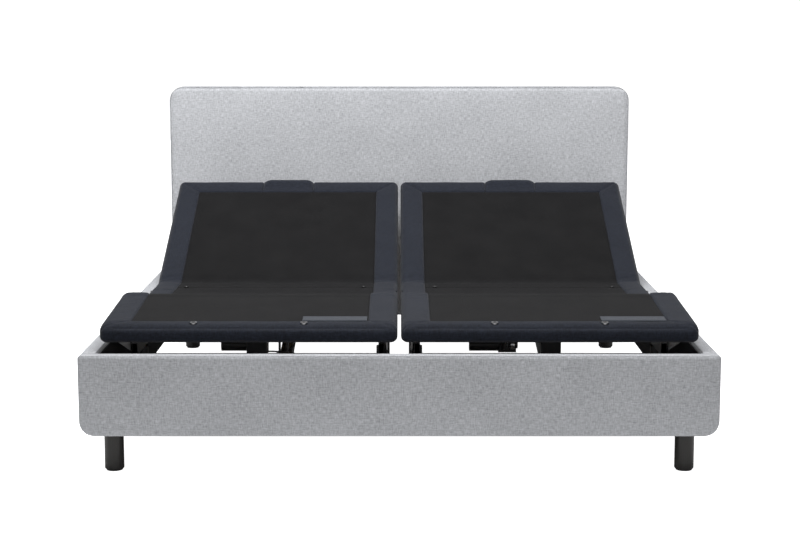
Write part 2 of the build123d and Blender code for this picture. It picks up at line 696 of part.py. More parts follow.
def section_frame(side, along, cross_positions):
    """Two side tubes and the cross tubes between them, under a board."""
    outer = (FRAME_HALF - TUBE_WIDTH - BOARD_FIT, FRAME_HALF - BOARD_FIT)
    height = (FRAME_BOTTOM, BOARD_BOTTOM)
    for span in (outer, mirrored(outer)):
        tube_along(side, span, along, height)
    between = (-outer[0] + WELD_GAP, outer[0] - WELD_GAP)
    for position in cross_positions:
        tube_across(side, between, (position, position + TUBE_WIDTH), height)


def crank(side, centre_x, tip):
    """Two plates under a cross tube, with a pin between them that the rod's yoke goes round."""
    inner = CRANK_GAP / 2
    outer = inner + CRANK_PLATE
    for span in ((inner, outer), (-outer, -inner)):
        bar(side, shifted(span, centre_x), (tip[0] - CRANK_TAB / 2, tip[0] + CRANK_TAB / 2),
            (tip[1], FRAME_BOTTOM - WELD_GAP))
        peg(side, centre_x + span[0], centre_x + span[1], tip, CRANK_TAB)
    peg(side, centre_x - inner, centre_x + inner, tip, CRANK_PIN)


def back_section(side_name, centre_x):
    side = back_plane(centre_x)
    end = BACK_LENGTH
    top = ((HINGE_GAP, 0), (end, 0), (end, -SECTION_THICK), (HINGE_GAP, -SECTION_THICK))
    pad("back_pad" + side_name, side, (HINGE_GAP, end), (0, end - SKIRT), top, handle=True)
    board("back_board" + side_name, side, (HINGE_GAP, end - SKIRT - BOARD_FIT), [(side, 1)])
    with BuildPart() as frame:
        crosses = (FRAME_INSET, end / 2, end - FRAME_INSET - TUBE_WIDTH - SKIRT)
        section_frame(side, (FRAME_INSET, end - FRAME_INSET - SKIRT), crosses)
        hinge_leaves(side, 1, False)
        crank(side, ACTUATOR_SPREAD, HEAD_CRANK)
    save(frame, "back_frame" + side_name)


def seat_section(side_name, centre_x):
    side = seat_foot_plane(centre_x)
    along = (HINGE_GAP, SEAT_LENGTH - HINGE_GAP)
    outline = ((along[0], 0), (along[1], 0), (along[1], -SECTION_THICK), (along[0], -SECTION_THICK))
    pad("seat_pad" + side_name, side, along, (0, SEAT_LENGTH), outline)
    leaves = [(side, 1), (seat_head_plane(centre_x), -1)]
    board("seat_board" + side_name, side, along, leaves)


def thigh_section(side_name, centre_x):
    side = thigh_plane(centre_x)
    knee = -THIGH_LENGTH
    outline = ((knee + HINGE_GAP, 0), (-HINGE_GAP, 0), (-HINGE_GAP, -SECTION_THICK),
               (knee + HINGE_GAP + KNEE_BEVEL, -SECTION_THICK), (knee + HINGE_GAP, -PIVOT_DEPTH))
    along = (knee + HINGE_GAP, -HINGE_GAP)
    pad("thigh_pad" + side_name, side, along, (knee, 0), outline)
    knee_side = thigh_knee_plane(centre_x)
    board_along = (knee + HINGE_GAP + KNEE_BEVEL / 2, -HINGE_GAP)
    board("thigh_board" + side_name, side, board_along, [(side, -1), (knee_side, 1)])
    with BuildPart() as frame:
        crosses = (knee + FRAME_INSET, -FRAME_INSET - TUBE_WIDTH)
        section_frame(side, (knee + FRAME_INSET, -FRAME_INSET), crosses)
        hinge_leaves(side, -1, False)
        hinge_leaves(knee_side, 1, True)
        crank(side, -ACTUATOR_SPREAD, LEG_CRANK)
    save(frame, "thigh_frame" + side_name)
    with BuildPart() as pins:
        for x in (-HINGE_SPREAD, HINGE_SPREAD):
            peg(knee_side, x - LEAF_WIDTH / 2, x + LEAF_WIDTH / 2, (0, -PIVOT_DEPTH), HINGE_PIN)
    save(pins, "knee_pins" + side_name)


def socket_centres():
    along = -(FOOT_LENGTH - SOCKET_FROM_END)
    return [(-SOCKET_SPACING / 2, along), (SOCKET_SPACING / 2, along)]


def top_plane(side):
    """Top view of a section: local x is the bed's X, local y runs along it, and it faces up."""
    return Plane(origin=side.origin, x_dir=(1, 0, 0), z_dir=side.y_dir)


def socket_holes(side):
    for centre in socket_centres():
        peg(top_plane(side), -SECTION_THICK, 0, centre, SOCKET_OUTER, Mode.SUBTRACT)


def retainer_sockets(name, centre_x):
    """Metal sockets in the foot border that take the bar which stops the mattress sliding."""
    top = top_plane(foot_plane(centre_x))
    with BuildPart() as piece:
        for centre in socket_centres():
            peg(top, -SOCKET_DEPTH, 0, centre, SOCKET_OUTER)
            peg(top, 0, SOCKET_RIM, centre, SOCKET_FLANGE)
            peg(top, -SOCKET_DEPTH, SOCKET_RIM, centre, SOCKET_BORE, Mode.SUBTRACT)
    save(piece, name)


def foot_pad(name, centre_x):
    side = foot_plane(centre_x)
    end = -FOOT_LENGTH
    with BuildPart() as piece:
        with BuildSketch(side.offset(-HALF_PLATFORM)):
            with BuildLine():
                Polyline((end, 0), (-HINGE_GAP, 0), (-HINGE_GAP, -PIVOT_DEPTH),
                         (-HINGE_GAP - KNEE_BEVEL, -SECTION_THICK), (end, -SECTION_THICK), close=True)
            make_face()
            fillet(vertices().group_by(Axis.X)[0], radius=FRONT_ROUND)
        extrude(amount=PLATFORM_WIDTH)
        bar(side, (-FRAME_HALF, FRAME_HALF), (end + SKIRT, 0), (-SECTION_THICK, BOARD_TOP),
            Mode.SUBTRACT)
        socket_holes(side)
    save(piece, name)


def link_ear(side, span):
    """A tab below a side tube of the foot section, with the pin that a link's upper end goes round."""
    tip = (-LINK_TIP_ALONG, -LINK_TIP_DROP)
    bar(side, span, (tip[0] - LINK_WIDTH / 2, tip[0] + LINK_WIDTH / 2),
        (tip[1], FRAME_BOTTOM - WELD_GAP))
    peg(side, span[0], span[1], tip, LINK_WIDTH)
    pin_end = LINK_SPAN[1] + LINK_PIN_PROUD
    outward = (span[1], pin_end) if span[0] > 0 else (-pin_end, span[0])
    peg(side, outward[0], outward[1], tip, LINK_PIN)


def foot_section(side_name, centre_x):
    side = foot_plane(centre_x)
    end = -FOOT_LENGTH
    foot_pad("foot_pad" + side_name, centre_x)
    board_along = (end + SKIRT + BOARD_FIT, -HINGE_GAP - KNEE_BEVEL / 2)
    board("foot_board" + side_name, side, board_along, [(side, -1)], sockets=True)
    retainer_sockets("retainer_sockets" + side_name, centre_x)
    ear = (CHASSIS_OUTER, CHASSIS_OUTER + TOWER_THICK)
    with BuildPart() as frame:
        crosses = (end + SKIRT + 2 * TUBE_WIDTH, -FRAME_INSET - TUBE_WIDTH)
        section_frame(side, (end + SKIRT + TUBE_WIDTH, -FRAME_INSET), crosses)
        hinge_leaves(side, -1, False)
        for span in (ear, mirrored(ear)):
            link_ear(side, span)
    save(frame, "foot_frame" + side_name)
    with BuildPart() as motor:
        middle_along = end + MASSAGE_FROM_END
        along = (middle_along - MASSAGE_LENGTH / 2, middle_along + MASSAGE_LENGTH / 2)
        x_span = (MASSAGE_OFFSET - MASSAGE_WIDTH / 2, MASSAGE_OFFSET + MASSAGE_WIDTH / 2)
        bar(side, x_span, along, (-SECTION_THICK - MASSAGE_DROP, BOARD_BOTTOM))
        fillet(motor.edges().filter_by(Axis(side.origin, side.y_dir)), radius=MASSAGE_ROUND)
    save(motor, "massage_motor" + side_name)


# ---------------------------------------------------------------- lift gear
def actuator(name, side, body_length, bore_depth):
    """Gearbox, motor and outer tube, with the rear eye at local zero and the rod's bore in front."""
    eye = (-ANCHOR_EYE_THICK / 2, ANCHOR_EYE_THICK / 2)
    box_start = ANCHOR_EYE / 2 + ANCHOR_CLEARANCE
    half = GEARBOX / 2
    with BuildPart() as piece:
        bar(side, eye, (0, box_start), (-ANCHOR_EYE / 2, ANCHOR_EYE / 2))
        peg(side, eye[0], eye[1], (0, 0), ANCHOR_EYE)
        peg(side, eye[0], eye[1], (0, 0), ANCHOR_PIN + 2 * RUNNING_FIT, Mode.SUBTRACT)
        bar(side, (-half, half), (box_start, box_start + GEARBOX), (-half, half))
        bar(side, (-OUTER_TUBE_WIDTH / 2, OUTER_TUBE_WIDTH / 2), (box_start + GEARBOX, body_length),
            (-OUTER_TUBE_HEIGHT / 2, OUTER_TUBE_HEIGHT / 2))
        peg(side, half, half + MOTOR_LENGTH, (box_start + half, 0), MOTOR_DIAMETER)
        peg(end_plane(side), -body_length, bore_depth - body_length, (0, 0),
            ROD_DIAMETER + 2 * ROD_FIT, Mode.SUBTRACT)
    save(piece, name)


def rod(name, side, body_length, stroke_out, pin_distance, yoke_bore):
    """The rod that slides out of the actuator, with a wide yoke that goes round the crank pin."""
    rear = body_length - ROD_OVERLAP - stroke_out
    yoke_outer = yoke_bore + 2 * YOKE_WALL
    span = (-YOKE_THICK / 2, YOKE_THICK / 2)
    with BuildPart() as piece:
        peg(end_plane(side), -rear, -(pin_distance - yoke_outer / 2 + YOKE_WALL / 2), (0, 0),
            ROD_DIAMETER)
        ring(side, span, (pin_distance, 0), yoke_outer, yoke_bore)
    save(piece, name)


def lift_gear(side_name, centre_x):
    head_x = centre_x + ACTUATOR_SPREAD
    head_pin = back_plane(head_x).from_local_coords(Vector(HEAD_CRANK[0], HEAD_CRANK[1], 0))
    head_side = aim_plane(head_x, HEAD_ANCHOR_Y, ANCHOR_Z, head_pin, 1)
    head_reach = (head_pin - head_side.origin).length
    head_bore = ROD_OVERLAP + HEAD_STROKE_OUT + HEAD_STROKE_IN + BORE_MARGIN
    actuator("head_actuator" + side_name, head_side, HEAD_BODY_LENGTH, head_bore)
    rod("head_rod" + side_name, head_side, HEAD_BODY_LENGTH, HEAD_STROKE_OUT, head_reach,
        HEAD_YOKE_BORE)
    leg_x = centre_x - ACTUATOR_SPREAD
    leg_pin = thigh_plane(leg_x).from_local_coords(Vector(LEG_CRANK[0], LEG_CRANK[1], 0))
    leg_side = aim_plane(leg_x, LEG_ANCHOR_Y, ANCHOR_Z, leg_pin, -1)
    leg_reach = (leg_pin - leg_side.origin).length
    leg_bore = ROD_OVERLAP + LEG_STROKE_OUT + LEG_STROKE_IN + BORE_MARGIN
    actuator("leg_actuator" + side_name, leg_side, LEG_BODY_LENGTH, leg_bore)
    rod("leg_rod" + side_name, leg_side, LEG_BODY_LENGTH, LEG_STROKE_OUT, leg_reach, LEG_YOKE_BORE)


def foot_links(name, centre_x):
    """Two flat links from the chassis towers to the ears of the foot section."""
    low = Vector(centre_x, LINK_PIVOT_Y, LINK_PIVOT_HEIGHT)
    high = foot_plane(centre_x).from_local_coords(Vector(-LINK_TIP_ALONG, -LINK_TIP_DROP, 0))
    side = aim_plane(centre_x, low.Y, low.Z, high, -1)
    length = (high - low).length
    with BuildPart() as piece:
        for span in (LINK_SPAN, mirrored(LINK_SPAN)):
            bar(side, span, (0, length), (-LINK_WIDTH / 2, LINK_WIDTH / 2))
            peg(side, span[0], span[1], (0, 0), LINK_WIDTH)
            peg(side, span[0], span[1], (length, 0), LINK_TIP_BORE + 2 * LINK_TIP_WALL)
            peg(side, span[0], span[1], (0, 0), LINK_PIN + 2 * RUNNING_FIT, Mode.SUBTRACT)
            peg(side, span[0], span[1], (length, 0), LINK_TIP_BORE, Mode.SUBTRACT)
    save(piece, name)


def bend_radii(points):
    """The largest arc that each corner of a cable's route has room for."""
    radii = []
    for before, corner, after in zip(points, points[1:], points[2:]):
        incoming = corner - before
        outgoing = after - corner
        turn = radians(incoming.get_angle(outgoing))
        room = CABLE_BEND_SHARE * min(incoming.length, outgoing.length)
        radii.append(room / tan(turn / 2))
    return radii


def motor_cable(name, centre_x):
    """The lead that droops from the massage motor and goes up into the board beside it."""
    side = foot_plane(centre_x)
    start_x = MASSAGE_OFFSET + MASSAGE_WIDTH / 2
    along = -FOOT_LENGTH + MASSAGE_FROM_END
    exit_height = -SECTION_THICK - MASSAGE_DROP + CABLE_EXIT_HEIGHT
    route = [(along + ahead, exit_height + up, start_x + out) for ahead, up, out in CABLE_CORNERS]
    route.append((route[-1][0], BOARD_BOTTOM, route[-1][2]))
    points = [side.from_local_coords(Vector(*point)) for point in route]
    radii = bend_radii(points)
    print(name, "bend radii", [round(radius, 1) for radius in radii])
    with BuildPart() as piece:
        with BuildLine():
            path = FilletPolyline(*points, radius=radii)
        with BuildSketch(Plane(origin=path @ 0, z_dir=path % 0)):
            Circle(CABLE_DIAMETER / 2)
        sweep()
    print(name, "length", round(path.length, 1))
    save(piece, name)


# ---------------------------------------------------------------- build every piece
footboard()
side_rail("side_rail_left", -1)
side_rail("side_rail_right", 1)
rail_liners()
headboard_panel()
headboard_layer("headboard_board", BACK_COVER, HEADBOARD_BOARD)
headboard_layer("headboard_back_cover", 0, BACK_COVER)
corner_brackets()
corner_bolts()
surround_legs("front_legs", "foot")
surround_legs("rear_legs", "head")
leg_glides()
rail_brackets()

for side_name, side in (("_left", -1), ("_right", 1)):
    centre_x = side * PLATFORM_CENTRE
    chassis_frame("chassis_frame" + side_name, centre_x)
    chassis_legs("chassis_legs" + side_name, centre_x, -side)
    pivot_pins("pivot_pins" + side_name, centre_x)
    control_box("control_box" + side_name, centre_x)
    seat_section(side_name, centre_x)
    back_section(side_name, centre_x)
    thigh_section(side_name, centre_x)
    foot_section(side_name, centre_x)
    lift_gear(side_name, centre_x)
    foot_links("foot_links" + side_name, centre_x)
motor_cable("motor_cable_left", -PLATFORM_CENTRE)
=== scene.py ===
"""Looks for the adjustable bed base: padded covers, weaves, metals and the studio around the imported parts."""
import json
import math

import bpy
import numpy as np
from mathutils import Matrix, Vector


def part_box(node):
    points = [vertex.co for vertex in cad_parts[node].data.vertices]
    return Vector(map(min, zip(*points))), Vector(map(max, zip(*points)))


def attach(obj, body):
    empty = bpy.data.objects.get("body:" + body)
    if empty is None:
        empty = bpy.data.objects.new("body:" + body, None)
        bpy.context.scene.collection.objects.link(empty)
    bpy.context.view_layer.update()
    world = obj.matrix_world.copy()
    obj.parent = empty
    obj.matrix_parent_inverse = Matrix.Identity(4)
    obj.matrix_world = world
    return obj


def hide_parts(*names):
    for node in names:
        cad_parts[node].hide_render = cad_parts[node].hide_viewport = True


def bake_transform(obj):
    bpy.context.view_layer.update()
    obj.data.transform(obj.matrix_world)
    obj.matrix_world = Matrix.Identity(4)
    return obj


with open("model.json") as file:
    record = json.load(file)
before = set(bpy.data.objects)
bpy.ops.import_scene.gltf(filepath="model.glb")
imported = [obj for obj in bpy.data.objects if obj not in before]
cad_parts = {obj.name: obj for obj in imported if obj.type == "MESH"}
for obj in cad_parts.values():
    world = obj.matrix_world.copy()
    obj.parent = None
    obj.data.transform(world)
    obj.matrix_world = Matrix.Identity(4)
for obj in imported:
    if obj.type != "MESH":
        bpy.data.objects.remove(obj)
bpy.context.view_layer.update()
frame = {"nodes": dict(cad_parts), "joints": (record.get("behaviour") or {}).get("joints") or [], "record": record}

# ------------------------------------------------------------------ sizes, in metres and degrees
SIDES = ("left", "right")
HALF_WIDTH = 0.4575
SECTION_THICK = 0.060
PIVOT_DEPTH = 0.014
POCKET_HALF = 0.4355
POCKET_TOP = -0.012
SKIRT = 0.022
BACK_LENGTH = 0.783
SEAT_LENGTH = 0.412
THIGH_LENGTH = 0.421
FOOT_LENGTH = 0.436
BACK_ANGLE = 24.2
THIGH_ANGLE = -11.9
FOOT_ANGLE = 3.6

# covers of the platforms
COVER_ROUND = 0.020
COVER_STEP_ACROSS = 0.011
COVER_STEP_ALONG = 0.010
BORDER = 0.090
FOOT_BORDER = 0.048
BEND_REACH = 0.055
SOCKET_ACROSS = 0.170
SOCKET_FROM_END = 0.028
SOCKET_HOLE = 0.0075
SOCKET_FLAT = 0.022
STRAP_ALONG = -0.138
SNAP_ACROSS = 0.331
FINE_STEPS = (-0.006, -0.003, 0, 0.003, 0.006)

# relief of the covers, each height or depth with its width or reach
ROLL_HEIGHT = 0.0032
DECK_SINK = 0.0012
SEAM_DEPTH, SEAM_WIDTH = 0.0045, 0.0024
MITRE_DEPTH, MITRE_WIDTH = 0.0038, 0.0035
GRIP_HALF = 0.1045
GRIP_RISE = 0.011
GRIP_SIDE_RAMP = 0.025
GRIP_LENGTH, GRIP_END_RAMP = 0.062, 0.03
GRIP_SEAM_DEPTH, GRIP_SEAM_WIDTH = 0.0055, 0.0028
STRAP_DEPTH, STRAP_WIDTH = 0.0028, 0.003
LONG_RIPPLE, LONG_RIPPLE_HEIGHT = 0.16, 0.0011
SHORT_RIPPLE, SHORT_RIPPLE_HEIGHT = 0.05, 0.0004
DECK_RIPPLE_SHARE = 0.35
CREASE_REACH, CREASE_HEIGHT = 0.045, 0.0010
CREASE_TURNS, CREASE_WANDER, CREASE_WANDER_TURNS = 420, 3, 30
BULGE = 0.0025
BULGE_RIPPLE, BULGE_RIPPLE_HEIGHT = 0.12, 0.0010
FRONT_BULGE_SHARE = 1.6
SIDE_BULGE_SHARE = 0.3
NOSE_REACH, NOSE_DROP = 0.045, 0.008

# covers of the surround
SURROUND_ROUND = 0.010
HEADBOARD_ROUND = 0.016
FOOTBOARD_STEP = 0.012
SURROUND_STEP = 0.014
UNDER_CORNER = 0.048
HEADBOARD_CORNER = 0.060
HEADBOARD_SEAM = 0.010
SLIM_CROWN, HEADBOARD_CROWN = 0.002, 0.005
CROWN_REACH = 0.05
PANEL_RIPPLE, PANEL_RIPPLE_HEIGHT = 0.22, 0.0011
CLOTH_RIPPLE, CLOTH_RIPPLE_HEIGHT = 0.07, 0.0003
PANEL_SEAM_DEPTH, PANEL_SEAM_WIDTH = 0.0018, 0.0026
EDGE_LINES = (0, 0.004, 0.009, 0.014)
SEAM_LINES = (0.006, 0.0085, 0.010, 0.0115, 0.014)
LIP_LINES = (-0.002, 0, 0.003, 0.008)
CORNER_LINES = 6
RECESS_BORDER = 0.030
RECESS_DEPTH = 0.029
RECESS_MARGIN, RECESS_RAMP = 0.001, 0.004

# sewn patch and snaps
PATCH_GAP = 0.004
PATCH_LENGTH, PATCH_DEPTH = 0.200, 0.056
PATCH_STEP = 0.008
PATCH_LEVELS = (-0.0015, 0.0, 0.0008)
PATCH_EDGE = (0.0, 0.0015, 0.003, 0.0045)
PATCH_TOP = 0.0007
PATCH_CROWN, PATCH_CROWN_REACH = 0.0009, 0.006
STITCH_INSET, STITCH_DEPTH, STITCH_WIDTH = 0.003, 0.0006, 0.0012
SNAP_RINGS = ((-0.0030, 0.0075), (0.0010, 0.0075), (0.0030, 0.0072), (0.0045, 0.0055), (0.0050, 0.0030))
SNAP_TOP = 0.0052
SNAP_COUNT = 20

TINY = 1e-7
FAR = 9.0

scene = bpy.context.scene
random_phases = np.random.default_rng(7)
joint_place = {j["name"]: j["pos_m"] for j in frame["joints"] if j.get("pos_m")}

# ------------------------------------------------------------------ camera, stage and lights
CAMERA_PLACE = (0.0, -6.0908, 1.3675)
CAMERA_PITCH = 8.216
CAMERA_LENS = 75.1
CAMERA_SENSOR = 36.0
CAMERA_SHIFT = 0.0009
CAMERA_REACH = 100.0
WORLD_LIGHT, WORLD_SEEN = 0.44, 1.1
FLOOR_REACH = 14.0
FLOOR_COLOUR = (0.93, 0.93, 0.93, 1)
FLOOR_ROUGHNESS = 0.95


def make_camera():
    data = bpy.data.cameras.new("camera")
    data.lens = CAMERA_LENS
    data.sensor_width = CAMERA_SENSOR
    data.shift_x = CAMERA_SHIFT
    data.clip_end = CAMERA_REACH
    camera = bpy.data.objects.new("camera", data)
    camera.location = CAMERA_PLACE
    camera.rotation_euler = (math.radians(90 - CAMERA_PITCH), 0, 0)
    scene.collection.objects.link(camera)
    scene.camera = camera


def area_light(name, place, target, size, power):
    data = bpy.data.lights.new(name, "AREA")
    data.shape = "RECTANGLE"
    data.size, data.size_y = size
    data.energy = power
    light = bpy.data.objects.new(name, data)
    light.location = place
    light.rotation_mode = "QUATERNION"
    light.rotation_quaternion = (Vector(target) - Vector(place)).to_track_quat("-Z", "Y")
    scene.collection.objects.link(light)


def make_world():
    scene.view_settings.view_transform = "Standard"
    world = bpy.data.worlds.new("studio")
    scene.world = world
    world.use_nodes = True
    tree = world.node_tree
    background = tree.nodes["Background"]
    path = add(tree, "ShaderNodeLightPath")
    seen = add(tree, "ShaderNodeMapRange",
               {"Value": path.outputs["Is Camera Ray"], "To Min": WORLD_LIGHT, "To Max": WORLD_SEEN})
    tree.links.new(seen.outputs["Result"], background.inputs["Strength"])
    background.inputs["Color"].default_value = (1.0, 1.0, 1.0, 1.0)


def make_stage():
    """A pale floor that glows only where the camera sees it, and two soft lights."""
    mesh = bpy.data.meshes.new("floor")
    corners = [(x * FLOOR_REACH, y * FLOOR_REACH, 0) for x, y in ((-1, -1), (1, -1), (1, 1), (-1, 1))]
    mesh.from_pydata(corners, [], [(0, 1, 2, 3)])
    floor = bpy.data.objects.new("floor", mesh)
    scene.collection.objects.link(floor)
    finish, tree, shader = nodes_for("floor_finish")
    shader.inputs["Base Color"].default_value = FLOOR_COLOUR
    shader.inputs["Roughness"].default_value = FLOOR_ROUGHNESS
    shader.inputs["Specular IOR Level"].default_value = 0.0
    shader.inputs["Emission Color"].default_value = (1, 1, 1, 1)
    path = add(tree, "ShaderNodeLightPath")
    tree.links.new(path.outputs["Is Camera Ray"], shader.inputs["Emission Strength"])
    mesh.materials.append(finish)
    area_light("key", (-0.4, -0.9, 3.4), (0.0, 1.3, 0.75), (3.4, 1.4), power=165)
    area_light("front", (1.5, -5.5, 3.2), (0.0, 0.2, 0.5), (3.0, 2.0), power=8)


# ------------------------------------------------------------------ node materials
def nodes_for(name):
    material = bpy.data.materials.new(name)
    material.use_nodes = True
    return material, material.node_tree, material.node_tree.nodes["Principled BSDF"]


def add(tree, kind, inputs=None, **settings):
    node = tree.nodes.new(kind)
    for key, value in settings.items():
        setattr(node, key, value)
    for key, value in (inputs or {}).items():
        if hasattr(value, "is_linked"):
            tree.links.new(value, node.inputs[key])
        else:
            node.inputs[key].default_value = value
    return node


def fabric_coordinates(tree, scale):
    source = add(tree, "ShaderNodeAttribute", attribute_name="fabric")
    mapping = add(tree, "ShaderNodeMapping", {"Vector": source.outputs["Vector"], "Scale": scale})
    return mapping.outputs["Vector"]


def object_coordinates(tree, scale):
    source = add(tree, "ShaderNodeTexCoord")
    mapping = add(tree, "ShaderNodeMapping", {"Vector": source.outputs["Object"], "Scale": scale})
    return mapping.outputs["Vector"]


def noise(tree, vector, detail=2.0, roughness=0.5):
    inputs = {"Vector": vector, "Scale": 1.0, "Detail": detail, "Roughness": roughness}
    return add(tree, "ShaderNodeTexNoise", inputs).outputs["Fac"]


def math_node(tree, operation, a, b):
    return add(tree, "ShaderNodeMath", {0: a, 1: b}, operation=operation).outputs["Value"]


def weighted(tree, *pairs):
    """The sum of some values, each times its weight."""
    total = None
    for value, weight in pairs:
        term = math_node(tree, "MULTIPLY", value, weight)
        total = term if total is None else math_node(tree, "ADD", total, term)
    return total


def ramp(tree, value, stops):
    node = add(tree, "ShaderNodeValToRGB", {"Fac": value})
    points = node.color_ramp.elements
    while len(points) < len(stops):
        points.new(0.5)
    for point, (position, colour) in zip(points, stops):
        point.position = position
        point.color = (*colour, 1)
    return node.outputs["Color"]


def shade(colour, factor):
    return tuple(min(1.0, c * factor) for c in colour)


def tones(tree, value, colour, places, factors):
    """A ramp through three shades of one colour."""
    return ramp(tree, value, [(place, shade(colour, factor)) for place, factor in zip(places, factors)])


def relief_to(tree, shader, height, strength, distance):
    bump = add(tree, "ShaderNodeBump", {"Height": height, "Strength": strength, "Distance": distance})
    tree.links.new(bump.outputs["Normal"], shader.inputs["Normal"])


def roughness_to(tree, shader, value, low, high):
    rough = add(tree, "ShaderNodeMapRange", {"Value": value, "To Min": low, "To Max": high})
    tree.links.new(rough.outputs["Result"], shader.inputs["Roughness"])


def weave(name, colour, spread, thread, sheen, roughness, level=0.25):
    """A plain weave of two-tone threads: slubs both ways of the cloth, a thread relief and a soft sheen."""
    material, tree, shader = nodes_for(name)
    across = noise(tree, fabric_coordinates(tree, (55, 260, 200)), detail=3.0, roughness=0.65)
    along = noise(tree, fabric_coordinates(tree, (260, 55, 200)), detail=3.0, roughness=0.65)
    patches = noise(tree, fabric_coordinates(tree, (5, 5, 5)))
    uneven = math_node(tree, "SUBTRACT", patches, 0.5)
    mix = weighted(tree, (across, 0.5), (along, 0.5), (uneven, 0.10))
    colours = tones(tree, mix, colour, (0.30, 0.50, 0.70), (1 - spread, 1, 1 + spread))
    tree.links.new(colours, shader.inputs["Base Color"])
    turns = 1.0 / thread
    threads = []
    for direction in ("X", "Y"):
        inputs = {"Vector": fabric_coordinates(tree, (turns, turns, turns)), "Scale": 0.32,
                  "Distortion": 0.6, "Detail": 1.0}
        wave = add(tree, "ShaderNodeTexWave", inputs, bands_direction=direction)
        threads.append(wave.outputs["Fac"])
    relief = math_node(tree, "MULTIPLY", *threads)
    relief = math_node(tree, "ADD", relief, math_node(tree, "MULTIPLY", mix, 0.9))
    relief_to(tree, shader, relief, 0.35, 0.0012)
    roughness_to(tree, shader, mix, roughness - 0.06, roughness + 0.04)
    shader.inputs["Specular IOR Level"].default_value = level
    shader.inputs["Sheen Weight"].default_value = sheen
    shader.inputs["Sheen Roughness"].default_value = 0.45
    return material


def deck_mesh():
    """Knitted non-slip mesh: rows of small open cells with rubbery dots, over dark foam."""
    material, tree, shader = nodes_for("deck_mesh")
    cells = add(tree, "ShaderNodeTexVoronoi",
                {"Vector": fabric_coordinates(tree, (290, 360, 290)), "Randomness": 0.25})
    rows = add(tree, "ShaderNodeTexWave",
               {"Vector": fabric_coordinates(tree, (1, 1, 1)), "Scale": 52.0, "Distortion": 0.3},
               bands_direction="Y")
    drift = noise(tree, fabric_coordinates(tree, (9, 9, 9)), detail=3.0)
    mix = weighted(tree, (cells.outputs["Distance"], 0.55), (rows.outputs["Fac"], 0.2), (drift, 0.35))
    stops = [(0.25, (0.0035, 0.0035, 0.004)), (0.55, (0.0085, 0.0083, 0.0088)),
             (0.85, (0.019, 0.0185, 0.0190))]
    tree.links.new(ramp(tree, mix, stops), shader.inputs["Base Color"])
    relief_to(tree, shader, mix, 0.5, 0.0015)
    roughness_to(tree, shader, mix, 0.50, 0.70)
    shader.inputs["Specular IOR Level"].default_value = 0.06
    shader.inputs["Sheen Weight"].default_value = 0.03
    shader.inputs["Sheen Roughness"].default_value = 0.5
    return material


def coated(name, colour, roughness, metallic=0.0, grain=900.0, strength=0.12, spread=0.18, wear=0.0):
    """Paint, plastic or plated metal: fine grain, cloudy colour and paler rubbed edges."""
    material, tree, shader = nodes_for(name)
    cloud = noise(tree, object_coordinates(tree, (7, 7, 7)), detail=4.0)
    fine = noise(tree, object_coordinates(tree, (grain, grain, grain)))
    mix = weighted(tree, (cloud, 0.7), (fine, 0.3))
    colours = tones(tree, mix, colour, (0.3, 0.5, 0.7), (1 - spread, 1, 1 + spread))
    if wear:
        geometry = add(tree, "ShaderNodeNewGeometry")
        inputs = {"Value": geometry.outputs["Pointiness"], "From Min": 0.52, "From Max": 0.60,
                  "To Min": 0.0, "To Max": wear}
        rubbed = add(tree, "ShaderNodeMapRange", inputs)
        inputs = {"Factor": rubbed.outputs["Result"], 6: colours, 7: (*shade(colour, 3.0), 1)}
        colours = add(tree, "ShaderNodeMix", inputs, data_type="RGBA").outputs[2]
    tree.links.new(colours, shader.inputs["Base Color"])
    relief_to(tree, shader, fine, strength, 0.0008)
    roughness_to(tree, shader, cloud, roughness - 0.08, roughness + 0.08)
    shader.inputs["Metallic"].default_value = metallic
    return material


def timber(name, colour, spread, roughness, scale, coat=0.0, rings=0.5):
    """Wood: long grain lines, wavy rings and pores."""
    material, tree, shader = nodes_for(name)
    grain = noise(tree, object_coordinates(tree, scale), detail=5.0, roughness=0.6)
    inputs = {"Vector": object_coordinates(tree, tuple(v * 0.12 for v in scale)), "Scale": 1.4,
              "Distortion": 5.0, "Detail": 3.0}
    wave = add(tree, "ShaderNodeTexWave", inputs)
    mix = weighted(tree, (grain, 1 - rings), (wave.outputs["Fac"], rings))
    colours = tones(tree, mix, colour, (0.25, 0.5, 0.8), (1 - spread, 1, 1 + spread))
    tree.links.new(colours, shader.inputs["Base Color"])
    relief_to(tree, shader, grain, 0.15, 0.0006)
    roughness_to(tree, shader, grain, roughness - 0.08, roughness + 0.1)
    shader.inputs["Coat Weight"].default_value = coat
    shader.inputs["Coat Roughness"].default_value = 0.25
    return material


def felt(name, colour):
    """Pressed nonwoven cloth or coated board: short fibres in every direction."""
    material, tree, shader = nodes_for(name)
    fibres = noise(tree, object_coordinates(tree, (380, 380, 380)), detail=4.0, roughness=0.7)
    cloud = noise(tree, object_coordinates(tree, (14, 14, 14)), detail=3.0)
    mix = weighted(tree, (fibres, 0.6), (cloud, 0.4))
    colours = tones(tree, mix, colour, (0.3, 0.5, 0.72), (0.6, 1, 1.6))
    tree.links.new(colours, shader.inputs["Base Color"])
    relief_to(tree, shader, fibres, 0.3, 0.001)
    roughness_to(tree, shader, cloud, 0.82, 0.97)
    shader.inputs["Specular IOR Level"].default_value = 0.2
    return material


